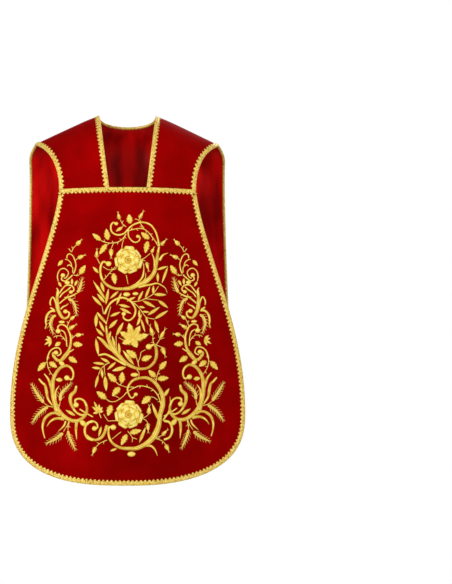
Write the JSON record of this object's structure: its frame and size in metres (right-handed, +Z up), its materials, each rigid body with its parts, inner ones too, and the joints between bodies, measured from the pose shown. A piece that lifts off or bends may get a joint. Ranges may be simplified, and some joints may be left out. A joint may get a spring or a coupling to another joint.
{
  "type": "chasuble",
  "caption": "Fiddleback chasuble: open-sided velvet front and back hung from shoulder straps, satin lined, edged with braid and embroidered in gold thread.",
  "frame": {"origin": "midpoint between the two neck points, on the line along the top of the shoulders", "axes": "+Z up, front of the garment towards -Y, wearer's left towards +X"},
  "size_m": [0.6504, 0.3602, 1.0844],
  "materials": {
    "velvet": "crimson cotton velvet, short pile",
    "interlining": "natural linen canvas",
    "satin_lining": "bright red satin",
    "gold_braid": "woven gold galloon with a scalloped edge",
    "gold_thread": "gold satin stitch embroidery",
    "silver_thread": "silver satin stitch embroidery",
    "cream_thread": "cream looped embroidery"
  },
  "bodies": {
    "shoulders": {"shoulder_velvet_left": "velvet", "shoulder_interlining_left": "interlining", "shoulder_lining_left": "satin_lining", "neck_braid_left": "gold_braid", "armhole_braid_left": "gold_braid", "shoulder_velvet_right": "velvet", "shoulder_interlining_right": "interlining", "shoulder_lining_right": "satin_lining", "neck_braid_right": "gold_braid", "armhole_braid_right": "gold_braid"},
    "front_panel": {"front_velvet": "velvet", "front_interlining": "interlining", "front_lining": "satin_lining", "front_edge_braid": "gold_braid", "front_top_braid": "gold_braid", "front_column_embroidery": "gold_thread", "front_spray_embroidery_left": "gold_thread", "front_spray_embroidery_right": "gold_thread"},
    "back_panel": {"back_velvet": "velvet", "back_interlining": "interlining", "back_lining": "satin_lining", "back_edge_braid": "gold_braid", "back_neck_braid": "gold_braid", "back_column_embroidery": "gold_thread", "back_spray_embroidery_left": "gold_thread", "back_spray_embroidery_right": "gold_thread", "back_wreath_embroidery": "gold_thread", "back_rays_embroidery": "silver_thread", "back_lamb_embroidery": "cream_thread", "back_book_embroidery": "gold_thread"}
  },
  "joints": [
    {"name": "front_panel_lift", "type": "hinge", "parent": "shoulders", "child": "front_panel", "pos_m": [0, -0.142, -0.2062], "axis": [-1, 0, 0], "range_deg": [0, 60]},
    {"name": "back_panel_lift", "type": "hinge", "parent": "shoulders", "child": "back_panel", "pos_m": [0, 0, 0.0056], "axis": [1, 0, 0], "range_deg": [0, 35]}
  ]
}
